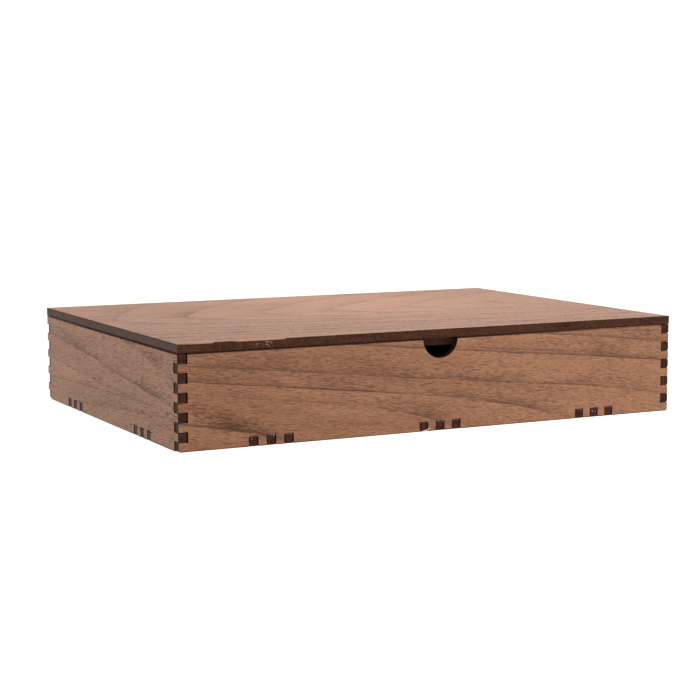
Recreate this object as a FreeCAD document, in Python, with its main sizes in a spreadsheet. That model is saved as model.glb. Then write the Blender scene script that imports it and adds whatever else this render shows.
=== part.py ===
"""Lift-off-lid paper box: seven boards cut from veneered sheet, finger-jointed at the corners.

Every board is a laminate of a core between two veneers, and each layer is a body of its own.
Millimetres. X runs along the front, Y from front to back, Z up. The origin is the centre of
the footprint, on the surface that the box stands on.
"""

import FreeCAD, Part
import os

import Sketcher

SIZES = {
    "box_length": 333.0,
    "box_depth": 234.0,
    "wall_height": 55.0,
    "core_thickness": 4.0,
    "veneer_thickness": 0.55,
    "finger_height": 5.0,
    "finger_gap": 0.5,
    "shoulder_gap": 0.9,
    "end_setback": 0.3,
    "back_end_setback": 1.0,
    "foot_radius": 1.2,
    "tab_width": 4.6,
    "tab_side_gap": 0.7,
    "tab_head_gap": 0.7,
    "tab_pitch": 11.0,
    "tabs_in_group": 3,
    "long_side_groups": 3,
    "short_side_groups": 2,
    "tab_group_inset": 56.5,
    "base_gap": 0.1,
    "notch_radius": 11.8,
    "lid_seat_gap": 0.3,
    "locating_gap": 0.6,
}

# Two points nearer than this, in millimetres, are the same point
EXACT = 1e-6

# Lengths that follow from the sheet, written as expressions
BOARD = "(Sizes.core_thickness + 2 * Sizes.veneer_thickness)"
HALF_LENGTH = "Sizes.box_length / 2"
HALF_DEPTH = "Sizes.box_depth / 2"
FINGER_STEP = "2 * (Sizes.finger_height + Sizes.finger_gap)"
FINGER_SLOT = "(Sizes.finger_height + 2 * Sizes.finger_gap)"
FINGER_PAIRS = f"floor((Sizes.wall_height + Sizes.finger_gap) / ({FINGER_STEP}))"
SLOT_DEPTH = f"({BOARD} + Sizes.shoulder_gap)"
TAB_SLOT = "(Sizes.tab_width + 2 * Sizes.tab_side_gap)"
TAB_SPREAD = "((Sizes.tabs_in_group - 1) * Sizes.tab_pitch / 2)"
LID_UNDERSIDE = "Sizes.wall_height + Sizes.lid_seat_gap"

# The front and back walls are cut away for a finger at the rim, the side walls one finger lower
FIRST_SLOT_LONG = "Sizes.wall_height - Sizes.finger_height - 1.5 * Sizes.finger_gap"
FIRST_SLOT_SHORT = "Sizes.wall_height - 2 * Sizes.finger_height - 2.5 * Sizes.finger_gap"


def make_sheet(doc):
    """Puts the driving sizes in a spreadsheet, one aliased cell each."""
    sheet = doc.addObject("Spreadsheet::Sheet", "Sizes")
    for row, (alias, value) in enumerate(SIZES.items(), start=1):
        sheet.set(f"A{row}", alias)
        sheet.set(f"B{row}", str(value))
        sheet.setAlias(f"B{row}", alias)
    doc.recompute()


def attach(sketch, body, plane, offset="0"):
    """Lays a sketch on one of the body's origin planes, moved along its normal."""
    origin_plane = next(f for f in body.Origin.OriginFeatures if f.Role == plane)
    sketch.AttachmentSupport = [(origin_plane, "")]
    sketch.MapMode = "FlatFace"
    sketch.setExpression("AttachmentOffset.Base.z", offset)


def rectangle(body, name, plane, edges, offset="0"):
    """A rectangle whose left, right, bottom and top edges are bound to expressions."""
    sketch = body.newObject("Sketcher::SketchObject", name)
    attach(sketch, body, plane, offset)
    left, right, bottom, top = (body.Document.Sizes.evalExpression(e) for e in edges)
    corners = [
        FreeCAD.Vector(left, bottom, 0),
        FreeCAD.Vector(right, bottom, 0),
        FreeCAD.Vector(right, top, 0),
        FreeCAD.Vector(left, top, 0),
    ]
    for i in range(4):
        sketch.addGeometry(Part.LineSegment(corners[i], corners[(i + 1) % 4]))
    for i in range(4):
        sketch.addConstraint(Sketcher.Constraint("Coincident", i, 2, (i + 1) % 4, 1))
        along = "Horizontal" if i % 2 == 0 else "Vertical"
        sketch.addConstraint(Sketcher.Constraint(along, i))
    held = (
        ("left", "DistanceX", 3, 1, left),
        ("right", "DistanceX", 0, 2, right),
        ("bottom", "DistanceY", 0, 1, bottom),
        ("top", "DistanceY", 2, 1, top),
    )
    for (edge, kind, line, end, value), expression in zip(held, edges):
        index = sketch.addConstraint(Sketcher.Constraint(kind, -1, 1, line, end, value))
        sketch.renameConstraint(index, edge)
        sketch.setExpression(f"Constraints.{edge}", expression)
    return sketch


def pad(body, sketch, thickness):
    """Raises a sketch along its plane's normal by one layer's thickness."""
    feature = body.newObject("PartDesign::Pad", f"{sketch.Name}_pad")
    feature.Profile = sketch
    feature.setExpression("Length", thickness)
    return feature


def round_feet(body, wall, plane_axis):
    """Rounds a wall's two bottom corners. plane_axis is the direction across the wall."""
    body.Document.recompute()
    corners = []
    for number, edge in enumerate(wall.Shape.Edges, start=1):
        direction = edge.Vertexes[1].Point - edge.Vertexes[0].Point
        on_the_floor = abs(edge.CenterOfMass.z) < EXACT
        if on_the_floor and direction.cross(plane_axis).Length < EXACT:
            corners.append(f"Edge{number}")
    feature = body.newObject("PartDesign::Fillet", "foot_rounding")
    feature.Base = (wall, corners)
    feature.setExpression("Radius", "Sizes.foot_radius")


def cut_through(body, sketch):
    """Cuts a sketch right through the layer, to both sides of its plane."""
    feature = body.newObject("PartDesign::Pocket", f"{sketch.Name}_cut")
    feature.Profile = sketch
    feature.Type = "ThroughAll"
    feature.Midplane = True
    return feature


def repeat(body, feature, sketch, rows):
    """Repeats a feature along the sketch's axes. A row is (axis, reversed, span, count)."""
    pattern = body.newObject("PartDesign::LinearPattern", f"{feature.Name}_pattern")
    pattern.Originals = [feature]
    for suffix, (axis, backwards, span, count) in zip(("", "2"), rows):
        setattr(pattern, f"Direction{suffix}", (sketch, [axis]))
        setattr(pattern, f"Reversed{suffix}", backwards)
        pattern.setExpression(f"Length{suffix}", span)
        pattern.setExpression(f"Occurrences{suffix}", count)
    body.Tip = pattern


def cut_finger_slots(body, plane, half_span, first_bottom):
    """Cuts the slots for the neighbour's fingers down both ends of a wall."""
    edges = (
        f"-{half_span}",
        f"-{half_span} + {SLOT_DEPTH}",
        first_bottom,
        f"{first_bottom} + {FINGER_SLOT}",
    )
    sketch = rectangle(body, "finger_slot", plane, edges)
    across = f"2 * {half_span} - {SLOT_DEPTH}"
    down = f"{FINGER_STEP} * ({FINGER_PAIRS} - 1)"
    rows = (("V_Axis", True, down, FINGER_PAIRS), ("H_Axis", False, across, "2"))
    repeat(body, cut_through(body, sketch), sketch, rows)


def cut_foot_slots(body, plane, half_span):
    """Opens a side wall's lowest slots to the bottom edge, for the front's and back's feet."""
    top = f"Sizes.wall_height - {FINGER_PAIRS} * {FINGER_STEP} + {FINGER_SLOT} - Sizes.finger_gap / 2"
    edges = (f"-{half_span}", f"-{half_span} + {SLOT_DEPTH}", "-Sizes.finger_gap", top)
    sketch = rectangle(body, "foot_slot", plane, edges)
    across = f"2 * {half_span} - {SLOT_DEPTH}"
    repeat(body, cut_through(body, sketch), sketch, (("H_Axis", False, across, "2"),))


def tab_rows(half_span, groups):
    """Pattern rows that set tabs in groups, the outer groups at the inset from each end."""
    return (
        ("H_Axis", False, f"2 * {TAB_SPREAD}", "Sizes.tabs_in_group"),
        ("H_Axis", False, f"2 * ({half_span} - Sizes.tab_group_inset)", groups),
    )


def first_tab_edges(half_span, width):
    """Left and right edges, as expressions, of the first tab or tab slot along a side."""
    centre = f"(Sizes.tab_group_inset - {half_span} - {TAB_SPREAD})"
    return f"{centre} - {width} / 2", f"{centre} + {width} / 2"


def cut_tab_slots(body, plane, half_span, groups):
    """Cuts the open slots along a wall's bottom edge that the base board's tabs fill."""
    left, right = first_tab_edges(half_span, TAB_SLOT)
    edges = (left, right, "-Sizes.tab_head_gap", f"{BOARD} + Sizes.tab_head_gap")
    sketch = rectangle(body, "tab_slot", plane, edges)
    repeat(body, cut_through(body, sketch), sketch, tab_rows(half_span, groups))


def cut_thumb_notch(body, plane):
    """Cuts the half-round notch, centred on the rim, that lets a finger under the lid."""
    sketch = body.newObject("Sketcher::SketchObject", "thumb_notch")
    attach(sketch, body, plane)
    rim = body.Document.Sizes.evalExpression("Sizes.wall_height")
    centre = FreeCAD.Vector(0, rim, 0)
    sketch.addGeometry(Part.Circle(centre, FreeCAD.Vector(0, 0, 1), SIZES["notch_radius"]))
    sketch.addConstraint(Sketcher.Constraint("PointOnObject", 0, 3, -2))
    held = (
        ("rim", Sketcher.Constraint("DistanceY", -1, 1, 0, 3, rim), "Sizes.wall_height"),
        ("radius", Sketcher.Constraint("Radius", 0, SIZES["notch_radius"]), "Sizes.notch_radius"),
    )
    for name, constraint, expression in held:
        index = sketch.addConstraint(constraint)
        sketch.renameConstraint(index, name)
        sketch.setExpression(f"Constraints.{name}", expression)
    cut_through(body, sketch)


def long_wall(body, start, thickness, setback, notched):
    """One layer of the front or back wall. Its ends stop short of the side walls' faces."""
    plane = "XZ_Plane"
    reach = f"({HALF_LENGTH} - {setback})"
    edges = (f"-{reach}", reach, "0", "Sizes.wall_height")
    wall = pad(body, rectangle(body, "outline", plane, edges, start), thickness)
    round_feet(body, wall, FreeCAD.Vector(0, 1, 0))
    cut_finger_slots(body, plane, HALF_LENGTH, FIRST_SLOT_LONG)
    cut_tab_slots(body, plane, HALF_LENGTH, "Sizes.long_side_groups")
    if notched:
        cut_thumb_notch(body, plane)


def side_wall(body, start, thickness):
    """One layer of the left or right wall, whose fingers fill the front and back walls' slots."""
    plane = "YZ_Plane"
    reach = f"({HALF_DEPTH} - Sizes.end_setback)"
    edges = (f"-{reach}", reach, "0", "Sizes.wall_height")
    pad(body, rectangle(body, "outline", plane, edges, start), thickness)
    cut_finger_slots(body, plane, HALF_DEPTH, FIRST_SLOT_SHORT)
    cut_foot_slots(body, plane, HALF_DEPTH)
    cut_tab_slots(body, plane, HALF_DEPTH, "Sizes.short_side_groups")


def base_board(body, start, thickness):
    """One layer of the base: a board that fills the inside, with tabs through the walls."""
    inner_x = f"({HALF_LENGTH} - {BOARD} - Sizes.base_gap)"
    inner_y = f"({HALF_DEPTH} - {BOARD} - Sizes.base_gap)"
    edges = (f"-{inner_x}", inner_x, f"-{inner_y}", inner_y)
    pad(body, rectangle(body, "outline", "XY_Plane", edges, start), thickness)

    # A strip right across the board leaves a tab at each of its ends
    left, right = first_tab_edges(HALF_LENGTH, "Sizes.tab_width")
    reach_y = f"({HALF_DEPTH} - Sizes.end_setback)"
    strip = rectangle(body, "long_side_tabs", "XY_Plane", (left, right, f"-{reach_y}", reach_y), start)
    rows = tab_rows(HALF_LENGTH, "Sizes.long_side_groups")
    repeat(body, pad(body, strip, thickness), strip, rows)

    low, high = first_tab_edges(HALF_DEPTH, "Sizes.tab_width")
    reach_x = f"({HALF_LENGTH} - Sizes.end_setback)"
    strip = rectangle(body, "short_side_tabs", "XY_Plane", (f"-{reach_x}", reach_x, low, high), start)
    rows = tuple(("V_Axis", *row[1:]) for row in tab_rows(HALF_DEPTH, "Sizes.short_side_groups"))
    repeat(body, pad(body, strip, thickness), strip, rows)


def plain_board(body, start, thickness, inset):
    """One layer of a plain rectangular board, inset from the box's outline on every side."""
    x = f"({HALF_LENGTH} - {inset})"
    y = f"({HALF_DEPTH} - {inset})"
    pad(body, rectangle(body, "outline", "XY_Plane", (f"-{x}", x, f"-{y}", y), start), thickness)


def make_board(doc, name, make_layer, start, faces):
    """Makes a board's three layers. faces names its low and high veneer along the plane's normal."""
    low_face, high_face = faces
    veneer, core = "Sizes.veneer_thickness", "Sizes.core_thickness"
    layers = (
        (f"{name}_{low_face}_veneer", start, veneer),
        (f"{name}_core", f"{start} + {veneer}", core),
        (f"{name}_{high_face}_veneer", f"{start} + {veneer} + {core}", veneer),
    )
    made = []
    for label, layer_start, thickness in layers:
        body = doc.addObject("PartDesign::Body", label)
        body.Label = label
        make_layer(body, layer_start, thickness)
        made.append(body)
    return made


def build(doc):
    """Makes every board of the box and its lid. The XZ plane's normal points to the front."""
    locating_inset = f"({BOARD} + Sizes.locating_gap)"
    boards = (
        ("front_wall", lambda b, s, t: long_wall(b, s, t, "Sizes.end_setback", True),
         f"{HALF_DEPTH} - {BOARD}", ("inner", "outer")),
        ("back_wall", lambda b, s, t: long_wall(b, s, t, "Sizes.back_end_setback", False),
         f"-{HALF_DEPTH}", ("outer", "inner")),
        ("left_wall", side_wall, f"-{HALF_LENGTH}", ("outer", "inner")),
        ("right_wall", side_wall, f"{HALF_LENGTH} - {BOARD}", ("inner", "outer")),
        ("base", base_board, "0", ("lower", "upper")),
        ("lid", lambda b, s, t: plain_board(b, s, t, "0"),
         LID_UNDERSIDE, ("lower", "upper")),
        ("locating_board", lambda b, s, t: plain_board(b, s, t, locating_inset),
         f"{LID_UNDERSIDE} - {BOARD}", ("lower", "upper")),
    )
    made = []
    for board in boards:
        made += make_board(doc, *board)
    return made


def check(doc, bodies):
    """Stops before anything is written if a feature failed or a body isn't one valid solid."""
    failed = [o.Name for o in doc.Objects if {"Invalid", "Error"} & set(o.State)]
    if failed:
        raise RuntimeError(f"these objects failed: {failed}")
    for body in bodies:
        shape = body.Shape
        if shape.isNull() or not shape.isValid() or len(shape.Solids) != 1:
            raise RuntimeError(f"{body.Label} is not one valid solid")


def main():
    doc = FreeCAD.newDocument("paper_box")
    make_sheet(doc)
    bodies = build(doc)
    doc.recompute()
    check(doc, bodies)
    os.makedirs("parts", exist_ok=True)
    for body in bodies:
        body.Shape.exportStep(f"parts/{body.Label}.step")
        box = body.Shape.BoundBox
        print(f"{body.Label}: {box.XLength:.2f} x {box.YLength:.2f} x {box.ZLength:.2f} mm, "
              f"{body.Shape.Volume / 1000:.2f} cm3")


main()
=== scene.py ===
"""Dresses the paper box: walnut veneer, scorched board edges, glue, studio light and camera."""

import math
import random
from collections import namedtuple

import bmesh
import bpy
from mathutils import Matrix, Vector, noise


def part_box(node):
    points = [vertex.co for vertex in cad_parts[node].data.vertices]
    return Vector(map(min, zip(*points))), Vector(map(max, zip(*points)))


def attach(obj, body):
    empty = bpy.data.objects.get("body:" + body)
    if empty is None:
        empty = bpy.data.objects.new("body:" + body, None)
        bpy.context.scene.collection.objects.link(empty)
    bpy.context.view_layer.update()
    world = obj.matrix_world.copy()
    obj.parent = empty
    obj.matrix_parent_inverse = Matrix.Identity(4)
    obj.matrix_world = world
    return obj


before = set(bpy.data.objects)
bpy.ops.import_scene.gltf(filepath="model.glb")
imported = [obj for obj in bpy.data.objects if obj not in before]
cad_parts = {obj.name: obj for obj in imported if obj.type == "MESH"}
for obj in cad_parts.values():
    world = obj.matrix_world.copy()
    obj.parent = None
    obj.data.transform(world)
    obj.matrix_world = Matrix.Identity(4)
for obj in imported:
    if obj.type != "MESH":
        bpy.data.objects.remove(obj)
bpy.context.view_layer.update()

MM = 0.001

LID_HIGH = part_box("lid_upper_veneer")[1]
HALF_LENGTH = LID_HIGH.x
HALF_DEPTH = LID_HIGH.y
LID_TOP = LID_HIGH.z
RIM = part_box("front_wall_core")[1].z
LID_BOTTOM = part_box("lid_lower_veneer")[0].z
BOARD = LID_TOP - LID_BOTTOM


class Graph:
    """A material's node tree. Each method adds one node and returns its output socket."""

    def __init__(self, material):
        material.use_nodes = True
        self.tree = material.node_tree
        self.shader = self.tree.nodes["Principled BSDF"]
        self.coordinates = self.tree.nodes.new("ShaderNodeTexCoord")

    def put(self, socket, value):
        """Links an output to a socket, or sets the socket to a plain value."""
        if isinstance(value, bpy.types.NodeSocket):
            self.tree.links.new(value, socket)
        else:
            socket.default_value = value

    def math(self, operation, *values, clamp=False):
        node = self.tree.nodes.new("ShaderNodeMath")
        node.operation = operation
        node.use_clamp = clamp
        for socket, value in zip(node.inputs, values):
            self.put(socket, value)
        return node.outputs[0]

    def add(self, a, b):
        return self.math("ADD", a, b)

    def subtract(self, a, b):
        return self.math("SUBTRACT", a, b)

    def times(self, a, b):
        return self.math("MULTIPLY", a, b)

    def divide(self, a, b):
        return self.math("DIVIDE", a, b)

    def largest(self, a, b):
        return self.math("MAXIMUM", a, b)

    def centred(self, value, amount):
        """Moves a 0 to 1 value to either side of zero, and scales it."""
        return self.times(self.subtract(value, 0.5), amount)

    def axis(self, name):
        """One of the object's own coordinates, in millimetres."""
        split = self.tree.nodes.new("ShaderNodeSeparateXYZ")
        self.put(split.inputs[0], self.coordinates.outputs["Object"])
        return self.times(split.outputs[name], 1 / MM)

    def facing(self, name):
        """How squarely a face looks along one of the object's own axes, from 0 to 1."""
        split = self.tree.nodes.new("ShaderNodeSeparateXYZ")
        self.put(split.inputs[0], self.coordinates.outputs["Normal"])
        return self.math("ABSOLUTE", split.outputs[name])

    def vector(self, x, y, z):
        node = self.tree.nodes.new("ShaderNodeCombineXYZ")
        for socket, value in zip(node.inputs, (x, y, z)):
            self.put(socket, value)
        return node.outputs[0]

    def cells(self, x_size, y_size, z_size):
        """The object's own coordinates, counted in cells of these sizes in millimetres."""
        sizes = zip("XYZ", (x_size, y_size, z_size))
        return self.vector(*(self.divide(self.axis(name), size) for name, size in sizes))

    def noise(self, vector, detail=2.0, roughness=0.5):
        node = self.tree.nodes.new("ShaderNodeTexNoise")
        self.put(node.inputs["Vector"], vector)
        node.inputs["Scale"].default_value = 1.0
        node.inputs["Detail"].default_value = detail
        node.inputs["Roughness"].default_value = roughness
        return node.outputs["Fac"]

    def grain(self, u, v, layer, seed, stretch=1.0):
        """A layer of noise drawn out along the fibres, and further by stretch."""
        along = self.divide(u, layer.length * stretch)
        across = self.divide(v, layer.width)
        place = self.vector(along, across, seed + layer.seed)
        return self.noise(place, layer.detail, layer.roughness)

    def span(self, value, low, high, to_low=0.0, to_high=1.0, smooth=True):
        """Maps a value from one range to another, held at the ends."""
        node = self.tree.nodes.new("ShaderNodeMapRange")
        node.interpolation_type = "SMOOTHSTEP" if smooth else "LINEAR"
        node.clamp = True
        self.put(node.inputs["Value"], value)
        node.inputs["From Min"].default_value = low
        node.inputs["From Max"].default_value = high
        node.inputs["To Min"].default_value = to_low
        node.inputs["To Max"].default_value = to_high
        return node.outputs[0]

    def hill(self, value, centre, reach):
        """A smooth bump of height 1 about a centre."""
        offset = self.divide(self.subtract(value, centre), reach)
        return self.math("EXPONENT", self.times(self.times(offset, offset), -1.0))

    def mix(self, factor, a, b):
        node = self.tree.nodes.new("ShaderNodeMix")
        node.data_type = "RGBA"
        self.put(node.inputs[0], factor)
        sockets = [socket for socket in node.inputs if socket.type == "RGBA"]
        for socket, value in zip(sockets, (a, b)):
            self.put(socket, (*value, 1.0) if isinstance(value, tuple) else value)
        return next(socket for socket in node.outputs if socket.type == "RGBA")

    def bump(self, height, strength, distance):
        node = self.tree.nodes.new("ShaderNodeBump")
        node.inputs["Strength"].default_value = strength
        node.inputs["Distance"].default_value = distance
        self.put(node.inputs["Height"], height)
        return node.outputs["Normal"]


# Colours in linear light: the veneer's palest and deepest wood, its growth lines and pores, the
# laser's scorch, also used as painted shade along a wall's rim under the lid, and the fresh wood
# where that has worn away
PALE = (0.334, 0.166, 0.0925)
DEEP = (0.122, 0.0455, 0.0205)
LINE = (0.082, 0.036, 0.021)
PORE = (0.058, 0.027, 0.017)
SCORCH_AND_SHADE = (0.024, 0.0095, 0.0065)
TORN = (0.40, 0.19, 0.095)

# A layer of noise in the grain: how long and wide its features are in millimetres, what it adds
# to the veneer's seed, and the noise's detail and roughness
Layer = namedtuple("Layer", "length width seed detail roughness")
SWING = Layer(75.0, 22.0, 0.0, 1.0, 0.5)
SHIVER = Layer(7.0, 2.0, 2.0, 2.0, 0.5)
WAVER = Layer(11.0, 5.0, 1.0, 1.0, 0.5)
TONE = Layer(120.0, 12.0, 3.0, 2.0, 0.5)
PATCH = Layer(30.0, 6.0, 5.0, 2.0, 0.5)
STREAK = Layer(12.0, 1.3, 7.0, 3.0, 0.6)
FINE = Layer(2.4, 0.58, 11.0, 3.0, 0.7)
DASH = Layer(3.3, 0.52, 17.0, 1.0, 0.5)
SHORT_DASH = Layer(1.6, 0.42, 19.0, 1.0, 0.5)
GATHERING = Layer(42.0, 11.0, 37.0, 1.0, 0.5)
LINE_STRENGTH = Layer(80.0, 14.0, 31.0, 2.0, 0.5)

# How much each layer moves the wood between its deepest and palest colour
TONE_AMOUNT = 0.6
PATCH_AMOUNT = 0.3
STREAK_AMOUNT = 0.4
FINE_AMOUNT = 1.15

# How strongly growth lines and pores cover the wood's colour where the contrast is 1
LINE_COVER = 1.15
PORE_COVER = 0.55

# Growth lines are sharp over this many millimetres on one side, and fade away on the other. The
# core is the darkest share of that fading side.
SHARP = 0.45
CORE_SHARE = 0.35

# A growth line begins to show this far before its start and is whole this far after it, in
# millimetres, and it ends in the same way
EARLY = 15.0
WHOLE = 25.0

# One growth line: its contour distance where the length is zero, how that drifts along the
# length, how dark it is, and where along the length it starts and ends
Line = namedtuple("Line", "place drift strength start end")


def drawn_lines(lines, fade, zone):
    """Growth lines placed one by one. A negative fade turns the fading side round.

    Pores crowd together beside each line, over the width of the zone.
    """

    def draw(g, q, u, seed):
        side = 1.0 if fade > 0 else -1.0
        dark, pores = 0.0, 0.0
        for line in lines:
            from_line = g.subtract(g.subtract(q, line.place), g.times(u, line.drift))
            distance = g.times(from_line, side)
            edge = g.span(distance, -SHARP, SHARP)
            core = g.span(distance, 0.0, CORE_SHARE * abs(fade), 0.62, 0.0)
            skirt = g.span(distance, 0.0, abs(fade), 0.38, 0.0, smooth=False)
            begun = g.span(u, line.start - EARLY, line.start + WHOLE)
            left = g.span(u, line.end - WHOLE, line.end + EARLY, 1.0, 0.0)
            ends = g.times(begun, left)
            shape = g.times(g.times(edge, g.add(core, skirt)), g.times(ends, line.strength))
            crowded = min(1.0, 1.3 * line.strength)
            near = g.times(edge, g.span(distance, 0.0, zone, crowded, 0.0))
            dark = g.largest(dark, shape)
            pores = g.largest(pores, g.times(near, ends))
        return dark, pores

    return draw


def evenly_lined(period, fade):
    """Growth lines at a slightly uneven spacing over a whole board, for the unseen faces."""

    def draw(g, q, u, seed):
        drift = g.noise(g.vector(g.divide(q, 1.7 * period), 0.0, seed + 41.0))
        phase = g.math("FRACT", g.add(g.divide(q, period), g.centred(drift, 1.2)))
        above = phase if fade > 0 else g.subtract(1.0, phase)
        edge = g.span(above, 0.0, SHARP / period)
        core = g.span(above, 0.0, CORE_SHARE * abs(fade) / period, 0.6, 0.0)
        skirt = g.span(above, 0.0, abs(fade) / period, 0.4, 0.0, smooth=False)
        strength = g.span(g.grain(u, q, LINE_STRENGTH, seed), 0.3, 0.7, 0.2, 1.0)
        near = g.span(above, 0.0, 0.8, 1.0, 0.0)
        return g.times(g.times(edge, g.add(core, skirt)), strength), g.times(edge, near)

    return draw


# A veneer: the axes that its grain runs along and across and the one that it faces, its contours
# and growth lines, its seed, the contrast of its grain, the fibres' slope and how far their dashes
# are drawn out, its tones, which on the lid also paint sheen, where its cut edge is torn, and its
# gloss
Wood = namedtuple(
    "Wood",
    "along across facing contour lines seed contrast slope stretch tones torn gloss",
)


def walnut(name, wood):
    """An open-pored walnut veneer with a dull finish, drawn in the board's own millimetres."""
    material = bpy.data.materials.new(name)
    g = Graph(material)
    u, v, seed = g.axis(wood.along), g.axis(wood.across), wood.seed
    contrast = wood.contrast(g, u, v)

    # The growth lines wander a little, in long swings and in short ones
    swing = g.centred(g.grain(u, v, SWING, seed), 1.8)
    shiver = g.centred(g.grain(u, v, SHIVER, seed), 1.0)
    q = g.add(wood.contour(g, u, v), g.add(swing, shiver))
    dark, crowd = wood.lines(g, q, u, seed)

    # Fibres run along the board, on a slight slope, and waver
    waver = g.centred(g.grain(u, v, WAVER, seed), 1.3)
    across = g.add(g.add(v, waver), g.add(g.times(u, wood.slope), g.times(swing, 0.5)))
    tone = g.grain(u, across, TONE, seed)
    patch = g.grain(u, across, PATCH, seed)
    streak = g.grain(u, across, STREAK, seed, wood.stretch)
    fine = g.grain(u, across, FINE, seed, wood.stretch)
    dash = g.grain(u, across, DASH, seed, wood.stretch)
    short_dash = g.grain(u, across, SHORT_DASH, seed, wood.stretch)

    # Open pores are dark dashes that crowd together just outside each growth line
    gathered = g.span(g.grain(u, across, GATHERING, seed), 0.42, 0.62, 0.2, 1.0)
    crowd = g.times(crowd, gathered)
    crowding = g.add(g.times(crowd, 0.13), g.centred(patch, 0.18))
    long_pores = g.span(g.add(dash, crowding), 0.59, 0.67)
    short_pores = g.span(g.add(short_dash, g.times(crowding, 0.7)), 0.6, 0.69)
    pores = g.math("MULTIPLY_ADD", short_pores, 0.6, long_pores, clamp=True)

    # The ground is palest where the layers agree, and lines and pores lie over it
    broad = g.add(g.centred(tone, TONE_AMOUNT), g.centred(patch, PATCH_AMOUNT))
    texture = g.add(g.centred(streak, STREAK_AMOUNT), g.centred(fine, FINE_AMOUNT))
    texture = g.times(g.subtract(texture, g.times(crowd, 0.07)), contrast)
    level = g.add(wood.tones(g, u, v), g.add(broad, texture))
    colour = g.mix(g.math("ADD", level, 0.0, clamp=True), DEEP, PALE)
    broken = g.span(g.add(streak, g.centred(fine, 0.7)), 0.3, 0.7, 1.0, 0.6)
    colour = g.mix(g.times(g.times(dark, broken), g.times(contrast, LINE_COVER)), colour, LINE)
    colour = g.mix(g.times(pores, g.times(contrast, PORE_COVER)), colour, PORE)

    # The laser scorches the sheet's cut edges, and a thin smoky line stays on its face there.
    # Along a wall's rim that line is also painted shade, of the gap under the lid.
    cut_edge = g.span(g.facing(wood.facing), 0.9, 0.6)
    edge_colour = g.mix(wood.torn(g, u, v), SCORCH_AND_SHADE, TORN)
    colour = g.mix(g.times(cut_edge, 0.92), colour, edge_colour)
    scorch_and_painted_shade = scorch_and_painted_shade_line(g, wood, u, v)
    g.put(g.shader.inputs["Base Color"], g.mix(scorch_and_painted_shade, colour, SCORCH_AND_SHADE))

    dull = g.add(g.centred(streak, 0.16), g.times(pores, 0.14))
    g.put(g.shader.inputs["Roughness"], g.math("ADD", dull, 0.56, clamp=True))
    gloss = g.span(g.largest(scorch_and_painted_shade, cut_edge), 0.0, 1.0, wood.gloss, 0.02)
    g.put(g.shader.inputs["Specular IOR Level"], gloss)
    height = g.subtract(g.times(fine, 0.4), pores)
    g.put(g.shader.inputs["Normal"], g.bump(height, 0.5, 0.13 * MM))
    return material


def scorch_and_painted_shade_line(g, wood, u, v):
    """A dark line along a wall's rim, painted shade of the gap under the lid together with the
    laser's scorch, and a darker band along its bottom edge.
    """
    upright = wood.across == "Z"
    if not upright:
        return 0.0
    rim = RIM / MM
    # The painted rim shade fades along the wall towards the right
    fainter = g.span(u, 20.0, 150.0, 1.0, 0.35)
    at_rim = g.times(g.span(v, rim - 1.0, rim - 0.6, 0.0, 0.97), fainter)
    at_foot = g.span(v, 0.75, 0.15, 0.0, 0.8)
    return g.largest(at_rim, at_foot)


def front_contour(g, u, v):
    """Long lines that run down to the right, and dive more steeply near the bottom edge."""
    descent = 0.1
    steep_below = 26.0
    bend = 1.483
    below = g.largest(g.subtract(1.0, g.divide(v, steep_below)), 0.0)
    dive = g.times(g.math("ARCTANGENT", g.times(below, bend)), steep_below / bend)
    above = g.largest(g.subtract(v, steep_below), 0.0)
    return g.add(g.times(u, descent), g.subtract(above, dive))


def left_contour(g, u, v):
    """Lines that draw together towards the front corner, from above and below a middle height."""
    middle = 21.0
    bulge = g.times(g.hill(u, centre=20.0, reach=17.0), g.hill(v, centre=37.0, reach=9.0))
    offset = g.subtract(g.subtract(v, middle), g.times(bulge, 1.7))
    opening = g.add(g.times(u, 0.085), 12.5)
    spread = g.add(opening, g.times(g.math("ABSOLUTE", offset), 0.8))
    return g.times(g.divide(offset, spread), 30.0)


def cathedral_contour(g, u, v):
    """Loops that open to the right. Their lower arms level out towards the front edge."""
    apex, tip = 20.0, 3.3
    rise = g.subtract(v, apex)
    size = g.subtract(g.math("SQRT", g.add(g.times(rise, rise), tip * tip)), tip)

    # The upper arms lean back more and more to the right, and the lower arms stay as they are
    lower = 0.45
    upper = g.add(g.times(g.add(u, 150.0), 0.0042), lower)
    both = g.times(size, g.times(g.add(upper, lower), 0.5))
    difference = g.times(rise, g.times(g.subtract(upper, lower), 0.5))
    arms = g.add(both, difference)

    # Beyond the turn, which takes up the width, the lower arms run nearly along the board
    turn, width, levelling = 38.0, 8.0, 3.8
    drop = g.math("EXPONENT", g.divide(g.subtract(g.times(rise, -1.0), turn), width))
    level = g.math("LOGARITHM", g.add(drop, 1.0), math.e)
    flatter = g.add(g.times(g.add(u, 30.0), 0.0018), 1.0)
    return g.subtract(u, g.add(arms, g.times(g.times(level, levelling * width), flatter)))


def slow_contour(slope, bow):
    """Nearly straight lines with a slope and a bow, for faces that the photograph doesn't show."""

    def contour(g, u, v):
        arch = g.times(g.times(u, u), bow)
        return g.add(v, g.add(g.times(u, slope), arch))

    return contour


def steady(level):
    """The same value all over a face."""
    return lambda g, u, v: g.add(level, 0.0)


def front_patch(g, u, v):
    """A patch of dark grain above the front corner's foot, on a slope down to the right."""
    height = g.add(v, g.times(u, 0.2))
    return g.times(g.hill(u, centre=-134.0, reach=20.0), g.hill(height, centre=-12.8, reach=4.6))


def front_tone(g, u, v):
    """Darker to the left, and in the patch."""
    level = g.span(u, -170.0, 60.0, 0.4, 0.55, smooth=False)
    return g.subtract(level, g.times(front_patch(g, u, v), 0.37))


def front_contrast(g, u, v):
    """The pores are coarser in the patch."""
    return g.add(g.times(front_patch(g, u, v), 1.1), 1.0)


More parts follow.
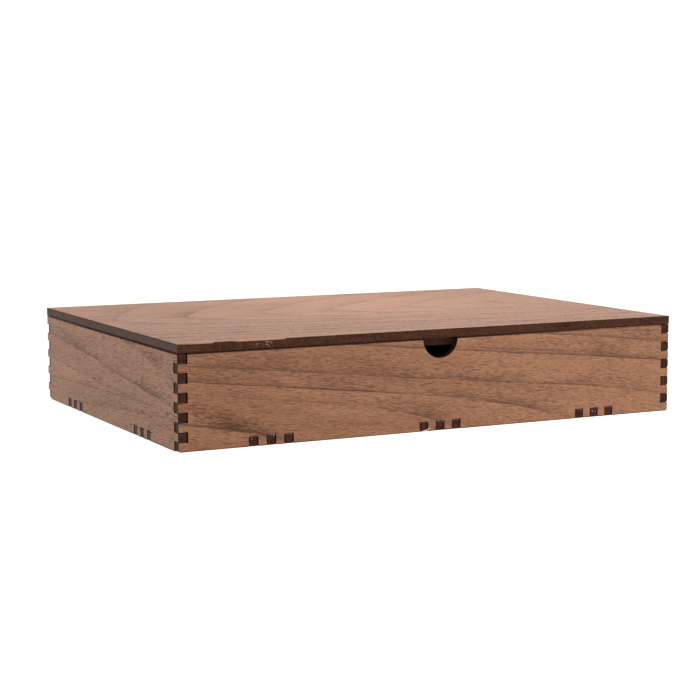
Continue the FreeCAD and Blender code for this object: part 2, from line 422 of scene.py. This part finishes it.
def left_tone(g, u, v):
    """A little darker towards the front corner."""
    return g.span(u, -110.0, 110.0, 0.51, 0.64, smooth=False)


def left_contrast(g, u, v):
    """The pores are coarser towards the front corner."""
    return g.span(u, -110.0, 90.0, 1.35, 0.8, smooth=False)


def lid_tone_and_painted_sheen(g, u, v):
    """Palest across the middle of the board, and more so behind than in front: the wood's tone
    together with painted sheen.
    """
    paler = g.span(v, -90.0, 10.0, 0.05, 0.34)
    return g.add(g.times(g.hill(u, centre=25.0, reach=95.0), paler), 0.56)


def lid_contrast(g, u, v):
    """The pores are coarser towards the front edge."""
    return g.span(v, -110.0, 60.0, 1.5, 0.45, smooth=False)


def lid_torn_edge(g, u, v):
    """Where the lid's front edge has lost its scorched skin and shows fresh wood."""
    front = -HALF_DEPTH / MM
    at_front = g.span(v, front + 3.0, front + 2.0)
    rubbed = g.times(g.span(u, -168.0, -150.0, 0.25, 0.9), g.span(u, -145.5, -144.5, 1.0, 0.0))
    stripped = g.times(g.span(u, -134.0, -128.0), g.span(u, -101.5, -100.5, 1.0, 0.0))
    return g.times(at_front, g.largest(rubbed, stripped))


FRONT_LINES = (
    Line(-28.3, -0.0145, 0.9, -200.0, -95.0),
    Line(-14.3, -0.026, 0.38, -150.0, -40.0),
    Line(-15.6, -0.051, 0.85, -50.0, 8.0),
    Line(-5.45, -0.015, 0.95, -175.0, 40.0),
    Line(-5.35, -0.015, 1.5, -125.0, -25.0),
    Line(-6.35, -0.018, 0.85, 15.0, 85.0),
    Line(4.7, -0.004, 0.75, -180.0, 200.0),
    Line(22.4, 0.002, 1.0, -85.0, 200.0),
    Line(24.5, 0.002, 0.8, 15.0, 135.0),
    Line(34.9, 0.0, 0.9, 45.0, 200.0),
)
LEFT_LINES = (
    Line(25.8, -0.042, 0.28, -130.0, -20.0),
    Line(17.0, 0.0, 0.82, -130.0, 130.0),
    Line(3.2, 0.046, 0.7, -60.0, 130.0),
    Line(-4.3, -0.024, 0.7, -90.0, 130.0),
    Line(-16.2, 0.007, 0.5, -130.0, 70.0),
)
LID_LINES = (
    Line(-520.0, 0.0, 0.4, -200.0, 200.0),
    Line(-450.0, 0.0, 0.5, -200.0, 200.0),
    Line(-390.0, 0.0, 0.6, -200.0, 200.0),
    Line(-334.0, 0.0, 0.9, -200.0, 150.0),
    Line(-285.0, 0.0, 0.6, -200.0, 200.0),
    Line(-235.0, 0.0, 0.95, -200.0, 200.0),
    Line(-152.0, 0.0, 0.65, -200.0, 200.0),
    Line(-105.0, 0.0, 0.7, -200.0, 200.0),
    Line(-52.0, 0.0, 0.62, -200.0, 200.0),
    Line(-3.0, 0.0, 0.62, -200.0, 200.0),
    Line(55.0, 0.0, 0.5, -200.0, 200.0),
    Line(122.0, 0.0, 0.4, -200.0, 200.0),
)

VENEERS = {
    "front_wall_outer": Wood(
        along="X",
        across="Z",
        facing="Y",
        contour=front_contour,
        lines=drawn_lines(FRONT_LINES, fade=3.4, zone=13.0),
        seed=1.3,
        contrast=front_contrast,
        slope=0.1,
        stretch=1.5,
        tones=front_tone,
        torn=steady(0.0),
        gloss=0.13,
    ),
    "left_wall_outer": Wood(
        along="Y",
        across="Z",
        facing="X",
        contour=left_contour,
        lines=drawn_lines(LEFT_LINES, fade=4.0, zone=10.0),
        seed=23.7,
        contrast=left_contrast,
        slope=0.04,
        stretch=2.2,
        tones=left_tone,
        torn=steady(0.0),
        gloss=0.28,
    ),
    "lid_upper": Wood(
        along="X",
        across="Y",
        facing="Z",
        contour=cathedral_contour,
        lines=drawn_lines(LID_LINES, fade=-17.0, zone=40.0),
        seed=83.9,
        contrast=lid_contrast,
        slope=0.02,
        stretch=1.2,
        tones=lid_tone_and_painted_sheen,
        torn=lid_torn_edge,
        gloss=0.14,
    ),
}

# The veneers that the photograph doesn't show: the axes that the grain runs along and across and
# the one that they face, the slope, bow, period and fade of their growth lines, and their seed
UNSEEN = {
    "front_wall_inner": ("X", "Z", "Y", 0.06, 2e-4, 11.0, 4.0, 11.3),
    "left_wall_inner": ("Y", "Z", "X", -0.05, -3e-4, 12.0, 4.0, 31.9),
    "right_wall_outer": ("Y", "Z", "X", 0.07, 4e-4, 11.0, 4.0, 41.1),
    "right_wall_inner": ("Y", "Z", "X", 0.04, -2e-4, 9.0, -3.0, 53.3),
    "back_wall_outer": ("X", "Z", "Y", -0.07, -3e-4, 12.0, -4.0, 61.7),
    "back_wall_inner": ("X", "Z", "Y", 0.05, 1e-4, 13.0, 4.0, 71.5),
    "lid_lower": ("X", "Y", "Z", 0.08, 2e-4, 17.0, 5.0, 91.3),
    "locating_board_upper": ("X", "Y", "Z", 0.05, 1e-4, 15.0, 5.0, 97.1),
    "locating_board_lower": ("X", "Y", "Z", 0.03, 9e-4, 16.0, -5.0, 103.7),
    "base_upper": ("X", "Y", "Z", -0.06, 3e-4, 19.0, 5.0, 109.9),
    "base_lower": ("X", "Y", "Z", 0.1, -2e-4, 16.0, -5.0, 117.3),
}
for name, (along, across, facing, slope, bow, period, fade, seed) in UNSEEN.items():
    VENEERS[name] = Wood(
        along=along,
        across=across,
        facing=facing,
        contour=slow_contour(slope, bow),
        lines=evenly_lined(period, fade),
        seed=seed,
        contrast=steady(0.9),
        slope=slope,
        stretch=1.5,
        tones=steady(0.58),
        torn=steady(0.0),
        gloss=0.15,
    )

# A scorched edge's colours, and how glossy it is on the front and back and on the sides
Scorch = namedtuple("Scorch", "darkest palest gloss side_gloss")
LID_EDGE = Scorch((0.017, 0.0060, 0.0040), (0.066, 0.0235, 0.0115), 0.06, 0.22)
WALL_EDGE = Scorch((0.015, 0.0056, 0.0042), (0.052, 0.0192, 0.0110), 0.04, 0.12)
BACK_EDGE = Scorch((0.026, 0.0110, 0.0080), (0.074, 0.0310, 0.0190), 0.04, 0.35)
BASE_EDGE = Scorch((0.017, 0.0070, 0.0052), (0.054, 0.0215, 0.0130), 0.05, 0.36)


def board_core(name, seed, scorch):
    """Fibreboard scorched by the laser: dark brown, mottled, with fine lines along the beam."""
    material = bpy.data.materials.new(name)
    g = Graph(material)
    mottle = g.noise(g.cells(1.3, 1.3, 1.3), detail=3.0, roughness=0.7)
    cloud = g.noise(g.cells(16.0, 16.0, 5.0))
    beam_width, beam_length = 0.6, 9.0
    around = g.add(g.divide(g.axis("X"), beam_width), g.divide(g.axis("Y"), beam_width))
    beam = g.noise(g.vector(around, g.divide(g.axis("Z"), beam_length), seed), detail=1.0)
    level = g.add(g.centred(mottle, 2.3), g.centred(cloud, 1.1))
    level = g.math("ADD", g.add(level, g.centred(beam, 0.7)), 0.5, clamp=True)
    g.put(g.shader.inputs["Base Color"], g.mix(level, scorch.darkest, scorch.palest))
    g.put(g.shader.inputs["Roughness"], g.span(mottle, 0.2, 0.8, 0.5, 0.8))
    gloss = g.span(g.facing("X"), 0.3, 0.9, scorch.gloss, scorch.side_gloss)
    gloss = g.times(gloss, g.span(mottle, 0.35, 0.65, 0.5, 1.5))
    g.put(g.shader.inputs["Specular IOR Level"], gloss)
    g.put(g.shader.inputs["Normal"], g.bump(g.add(mottle, g.times(beam, 0.5)), 0.4, 0.1 * MM))
    return material


def dried_glue(name, darker, paler, gloss):
    """Glue that has dried, clouded by what got into it, and still shines."""
    material = bpy.data.materials.new(name)
    g = Graph(material)
    cloud = g.noise(g.cells(0.8, 0.8, 0.8))
    g.put(g.shader.inputs["Base Color"], g.mix(g.span(cloud, 0.3, 0.7), darker, paler))
    g.put(g.shader.inputs["Roughness"], g.span(cloud, 0.3, 0.7, 0.16, 0.42))
    g.shader.inputs["Specular IOR Level"].default_value = gloss
    g.put(g.shader.inputs["Normal"], g.bump(cloud, 0.4, 0.1 * MM))
    return material


def torn_wood(name, colour):
    """Fresh wood where a splinter has broken away, or a loose fibre."""
    material = bpy.data.materials.new(name)
    g = Graph(material)
    fibre = g.noise(g.cells(1.5, 0.2, 0.2))
    darker = tuple(0.62 * channel for channel in colour)
    g.put(g.shader.inputs["Base Color"], g.mix(g.span(fibre, 0.3, 0.7), darker, colour))
    g.put(g.shader.inputs["Roughness"], g.span(fibre, 0.3, 0.7, 0.75, 0.9))
    g.shader.inputs["Specular IOR Level"].default_value = 0.15
    return material


# A board's arris is dulled by this much where its faces turn more sharply than this, once the
# vertices that lie nearer than this have been joined
ARRIS = 0.08 * MM
SHARP_TURN = math.radians(40)
SAME_PLACE = 1e-6


def finish_node(node, material):
    """Gives a CAD node its material, joins its split vertices and dulls its sharp edges."""
    node.data.materials.clear()
    node.data.materials.append(material)
    weld = node.modifiers.new("weld", "WELD")
    weld.merge_threshold = SAME_PLACE
    bevel = node.modifiers.new("arris", "BEVEL")
    bevel.width = ARRIS
    bevel.segments = 1
    bevel.limit_method = "ANGLE"
    bevel.angle_limit = SHARP_TURN


for name, wood in VENEERS.items():
    finish_node(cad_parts[f"{name}_veneer"], walnut(f"walnut_{name}", wood))

CORES = {
    "front_wall": WALL_EDGE,
    "back_wall": BACK_EDGE,
    "left_wall": WALL_EDGE,
    "right_wall": WALL_EDGE,
    "base": BASE_EDGE,
    "lid": LID_EDGE,
    "locating_board": LID_EDGE,
}
for number, (name, scorch) in enumerate(CORES.items()):
    seed = 5.0 * number
    finish_node(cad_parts[f"{name}_core"], board_core(f"core_{name}", seed, scorch))


def add_piece(name, shape, body, material):
    """Adds a finished bmesh to the scene as a piece that rides on a body."""
    bmesh.ops.recalc_face_normals(shape, faces=shape.faces)
    mesh = bpy.data.meshes.new(name)
    shape.to_mesh(mesh)
    shape.free()
    mesh.materials.append(material)
    piece = bpy.data.objects.new(name, mesh)
    bpy.context.scene.collection.objects.link(piece)
    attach(piece, body)


# The joints, as the boards were cut
FINGER_STEP = 5.5 * MM
FINGER_GAP = 0.5 * MM
TAB_WIDTH = 4.6 * MM
TAB_SIDE_GAP = 0.7 * MM
TAB_HEAD_GAP = 0.7 * MM
TAB_PITCH = 11.0 * MM
GROUP_INSET = 56.5 * MM
FRONT_SETBACK = 0.3 * MM
BACK_SETBACK = 1.0 * MM

# Beads of glue over each tab's head, and how far apart they lie
BEADS_PER_TAB = 4
BEAD_PITCH = 1.25 * MM

# A bead's lumps: how large they are, and how far they swell it, as a share of its radius
LUMP_SIZE = 0.7 * MM
LUMP_SHARE = 0.45

THREAD_SIDES = 4


def glue_layer(shape, corner, height, setback, rng):
    """Glue between two fingers of a corner joint, ragged along the box's two outer faces."""
    steps = 8
    rows = [BOARD * step / steps for step in range(steps)]
    ragged = [setback + rng.uniform(0.05, 0.5) * MM for _ in range(2 * steps)]
    outline = [(BOARD, BOARD)]
    outline += [(row, ragged[i]) for i, row in enumerate(reversed(rows[1:]))]
    outline += [(ragged[steps + i], row) for i, row in enumerate(rows[1:])]
    x_side, y_side = corner
    half = 0.48 * FINGER_GAP
    rings = []
    for level in (height - half, height + half):
        ring = []
        for x_inward, y_inward in outline:
            x = math.copysign(HALF_LENGTH - x_inward, x_side)
            y = math.copysign(HALF_DEPTH - y_inward, y_side)
            ring.append(shape.verts.new((x, y, level)))
        rings.append(ring)
        shape.faces.new(ring)
    for i in range(len(outline)):
        j = (i + 1) % len(outline)
        shape.faces.new((rings[0][i], rings[0][j], rings[1][j], rings[1][i]))


def bead(shape, centre, radii, rng):
    """An uneven blob. centre and radii are in metres."""
    place = Matrix.Translation(centre) @ Matrix.Diagonal((*radii, 1.0))
    made = bmesh.ops.create_icosphere(shape, subdivisions=2, radius=1.0, matrix=place)
    offset = Vector([rng.uniform(0, 50) for _ in range(3)])
    for vert in made["verts"]:
        lumps = noise.noise(vert.co / LUMP_SIZE + offset)
        vert.co += (vert.co - Vector(centre)) * LUMP_SHARE * lumps


def thread(shape, points, radius):
    """A thin fibre through a few points."""
    angles = [math.tau * side / THREAD_SIDES for side in range(THREAD_SIDES)]
    corners = [Vector((math.cos(angle), math.sin(angle), 0)) * radius for angle in angles]
    rings = []
    for index, point in enumerate(points):
        before = points[max(index - 1, 0)]
        after = points[min(index + 1, len(points) - 1)]
        turn = (Vector(after) - Vector(before)).to_track_quat("Z", "Y")
        rings.append([shape.verts.new(Vector(point) + turn @ corner) for corner in corners])
    for low, high in zip(rings, rings[1:]):
        for i in range(THREAD_SIDES):
            j = (i + 1) % THREAD_SIDES
            shape.faces.new((low[i], low[j], high[j], high[i]))
    shape.faces.new(rings[0])
    shape.faces.new(rings[-1])


SOOTY_GLUE = dried_glue("sooty_glue", (0.016, 0.0068, 0.0052), (0.064, 0.030, 0.021), 0.2)
# The clear glue's pale colour paints glints, besides the shine of its gloss
GLUE_WITH_PAINTED_GLINTS = dried_glue("glue_with_painted_glints", (0.12, 0.072, 0.056), (0.40, 0.31, 0.27), 0.5)
FRESH_WOOD = torn_wood("fresh_wood", (0.62, 0.40, 0.30))
PALE_FIBRE = torn_wood("pale_fibre", (0.58, 0.48, 0.41))


def glue_corner(name, corner, setback, seed):
    """All the glue between the fingers of one corner, given by the signs of its x and y."""
    rng = random.Random(seed)
    shape = bmesh.new()
    gaps = round(RIM / FINGER_STEP) - 1
    for number in range(1, gaps + 1):
        glue_layer(shape, corner, number * FINGER_STEP, setback, rng)
    add_piece(name, shape, "box", SOOTY_GLUE)


def tab_centres(half_span, groups):
    """Where the base board's tabs come through a wall, measured along it."""
    reach = half_span - GROUP_INSET
    middles = [reach * (2 * group / (groups - 1) - 1) for group in range(groups)]
    return [middle + step * TAB_PITCH for middle in middles for step in (-1, 0, 1)]


def on_wall(wall, along, inward, height):
    """A point on a wall, a little inward from its outer face."""
    places = {
        "front": (along, -HALF_DEPTH + inward, height),
        "back": (along, HALF_DEPTH - inward, height),
        "left": (-HALF_LENGTH + inward, along, height),
        "right": (HALF_LENGTH - inward, along, height),
    }
    return places[wall]


def flat_radii(wall, along, inward, height):
    """A blob's three radii, turned to lie along a wall."""
    return (along, inward, height) if wall in ("front", "back") else (inward, along, height)


def glue_tabs(wall, half_span, groups, seed):
    """Glue squeezed out over each tab's head, with a drop beside every other one or so."""
    rng = random.Random(seed)
    shape = bmesh.new()
    head = BOARD + 0.35 * TAB_HEAD_GAP
    for centre in tab_centres(half_span, groups):
        for step in range(BEADS_PER_TAB):
            from_centre = (step - (BEADS_PER_TAB - 1) / 2) * BEAD_PITCH
            along = centre + from_centre + rng.uniform(-0.3, 0.3) * MM
            size = rng.uniform(0.5, 0.85) * MM
            inward = rng.uniform(0.35, 0.55) * MM
            height = head - rng.uniform(0.0, 0.45) * MM
            place = on_wall(wall, along, inward, height)
            bead(shape, place, flat_radii(wall, size, 0.34 * MM, 0.8 * size), rng)
        if rng.random() < 0.5:
            side = rng.choice((-1, 1)) * (TAB_WIDTH + TAB_SIDE_GAP) / 2
            drop = on_wall(wall, centre + side, 0.5 * MM, rng.uniform(1.0, 4.5) * MM)
            bead(shape, drop, flat_radii(wall, 0.36 * MM, 0.3 * MM, 0.7 * MM), rng)
    add_piece(f"tab_glue_{wall}", shape, "box", SOOTY_GLUE)


# Drops of clear glue that catch the light, with a pale colour that also paints their glints:
# place along the front, height and radius, in millimetres
GLUE_DROPS_WITH_PAINTED_GLINTS = (
    (1.9, 5.4, 0.42),
    (-0.6, 5.5, 0.28),
    (8.6, 5.2, 0.3),
    (109.0, 3.5, 0.46),
    (111.4, 3.2, 0.38),
    (101.0, 5.0, 0.26),
    (-122.0, 4.2, 0.34),
    (-108.6, 5.5, 0.34),
    (-98.2, 5.4, 0.3),
    (-8.9, 5.3, 0.26),
)


def add_glue_drops_with_painted_glints():
    """Sets the clear drops on the ends of the front's tabs and beside them. Their pale colour
    paints glints.
    """
    rng = random.Random(77)
    shape = bmesh.new()
    for along, height, radius in GLUE_DROPS_WITH_PAINTED_GLINTS:
        place = on_wall("front", along * MM, 0.15 * MM, height * MM)
        bead(shape, place, (radius * MM, 0.22 * MM, 0.75 * radius * MM), rng)
    add_piece("glue_drops_with_painted_glints", shape, "box", GLUE_WITH_PAINTED_GLINTS)


def add_foot_splinter():
    """A pale splinter that stands out from a tab slot's lower corner."""
    shape = bmesh.new()
    face = -HALF_DEPTH
    points = (
        (-11.6 * MM, face + 0.2 * MM, 0.35 * MM),
        (-9.9 * MM, face - 0.1 * MM, 0.55 * MM),
        (-8.4 * MM, face - 0.2 * MM, 1.0 * MM),
        (-7.4 * MM, face - 0.1 * MM, 1.9 * MM),
    )
    thread(shape, points, radius=0.32 * MM)
    add_piece("foot_splinter", shape, "box", FRESH_WOOD)


def add_lid_fibres():
    """Loose fibres and a speck of dust that cling to the lid's front edge and top."""
    shape = bmesh.new()
    face = -HALF_DEPTH - 0.15 * MM

    # Points in the plane of the front edge, along the box and up, in millimetres
    strands = (
        ((-115.3, 60.7), (-113.9, 60.1), (-112.6, 58.7), (-112.1, 57.3)),
        ((-112.6, 58.7), (-111.3, 59.2), (-110.0, 58.6), (-109.4, 57.4)),
        ((-113.4, 57.6), (-111.9, 57.0), (-110.9, 55.9)),
        ((-118.9, 57.3), (-118.4, 58.4)),
    )
    for strand in strands:
        thread(shape, [(x * MM, face, z * MM) for x, z in strand], radius=0.06 * MM)
    speck = (-142.0 * MM, -87.0 * MM, LID_TOP + 0.1 * MM)
    bead(shape, speck, (0.5 * MM, 1.4 * MM, 0.15 * MM), random.Random(5))
    add_piece("lid_fibres", shape, "lid", PALE_FIBRE)


glue_corner("glue_front_left", (-1, -1), FRONT_SETBACK, seed=11)
glue_corner("glue_front_right", (1, -1), FRONT_SETBACK, seed=12)
glue_corner("glue_back_left", (-1, 1), BACK_SETBACK, seed=13)
glue_corner("glue_back_right", (1, 1), BACK_SETBACK, seed=14)
glue_tabs("front", HALF_LENGTH, groups=3, seed=21)
glue_tabs("back", HALF_LENGTH, groups=3, seed=22)
glue_tabs("left", HALF_DEPTH, groups=2, seed=23)
glue_tabs("right", HALF_DEPTH, groups=2, seed=24)
add_glue_drops_with_painted_glints()
add_foot_splinter()
add_lid_fibres()


# The floor's side in metres, and how far it lies below the box, so that their faces don't meet
FLOOR_SIZE = 16.0
FLOOR_DROP = 0.05 * MM


def make_floor():
    """A white table lit from below, as small things are photographed on, so it holds no shadow."""
    bpy.ops.mesh.primitive_plane_add(size=FLOOR_SIZE, location=(0, 0, -FLOOR_DROP))
    floor = bpy.context.object
    floor.name = "studio_floor"
    material = bpy.data.materials.new("floor_white")
    g = Graph(material)
    g.shader.inputs["Base Color"].default_value = (0.35, 0.35, 0.35, 1)
    g.shader.inputs["Roughness"].default_value = 0.9
    g.shader.inputs["Specular IOR Level"].default_value = 0.1
    g.shader.inputs["Emission Color"].default_value = (1, 1, 1, 1)
    g.shader.inputs["Emission Strength"].default_value = 0.78
    floor.data.materials.append(material)


def make_light(name, place, target, size, power):
    """A square softbox at a place, in metres, facing a target."""
    data = bpy.data.lights.new(name, "AREA")
    data.shape = "SQUARE"
    data.size = size
    data.energy = power
    light = bpy.data.objects.new(name, data)
    bpy.context.scene.collection.objects.link(light)
    light.location = place
    light.rotation_mode = "QUATERNION"
    light.rotation_quaternion = (Vector(target) - Vector(place)).to_track_quat("-Z", "Y")


def make_world():
    """White all round, and brighter low down at the back right."""
    world = bpy.data.worlds.new("studio")
    bpy.context.scene.world = world
    world.use_nodes = True
    tree = world.node_tree
    background = tree.nodes["Background"]
    coordinates = tree.nodes.new("ShaderNodeTexCoord")
    towards = tree.nodes.new("ShaderNodeVectorMath")
    towards.operation = "DOT_PRODUCT"
    tree.links.new(coordinates.outputs["Generated"], towards.inputs[0])
    towards.inputs[1].default_value = Vector((0.6, 0.8, 0.1)).normalized()
    glow = tree.nodes.new("ShaderNodeMapRange")
    glow.interpolation_type = "SMOOTHSTEP"
    tree.links.new(towards.outputs["Value"], glow.inputs["Value"])
    glow.inputs["From Min"].default_value = 0.75
    glow.inputs["From Max"].default_value = 1.0
    glow.inputs["To Min"].default_value = 1.12
    glow.inputs["To Max"].default_value = 1.85
    background.inputs["Color"].default_value = (1.0, 1.0, 1.0, 1)
    tree.links.new(glow.outputs[0], background.inputs["Strength"])


# The camera stands this far from its aim, a point on the front wall's plane, in metres. Its
# azimuth is turned to the left of the front. The lens and sensor are in millimetres.
CAMERA_AZIMUTH = math.radians(-27.05)
CAMERA_ELEVATION = math.radians(6.903)
CAMERA_ROLL = math.radians(-0.058)
CAMERA_DISTANCE = 1.0266
CAMERA_LENS = 91.76
SENSOR_WIDTH = 36.0
AIM = Vector((-0.06006, -HALF_DEPTH, 0.05128))


def make_camera():
    """The photograph's view: from the front left, a little above the box."""
    data = bpy.data.cameras.new("camera")
    data.lens = CAMERA_LENS
    data.sensor_width = SENSOR_WIDTH
    camera = bpy.data.objects.new("camera", data)
    bpy.context.scene.collection.objects.link(camera)
    level = math.cos(CAMERA_ELEVATION)
    x = math.sin(CAMERA_AZIMUTH) * level
    y = -math.cos(CAMERA_AZIMUTH) * level
    back = Vector((x, y, math.sin(CAMERA_ELEVATION)))
    camera.location = AIM + back * CAMERA_DISTANCE
    camera.rotation_mode = "QUATERNION"
    camera.rotation_quaternion = (-back).to_track_quat("-Z", "Y")
    camera.rotation_mode = "XYZ"
    camera.rotation_euler.rotate_axis("Z", CAMERA_ROLL)
    bpy.context.scene.camera = camera


make_floor()
make_world()
make_light("key_softbox", place=(0.62, -0.5, 0.8), target=(0, 0, 0.03), size=0.6, power=10.0)
make_camera()
bpy.context.scene.view_settings.view_transform = "Standard"
bpy.context.scene.view_settings.look = "None"
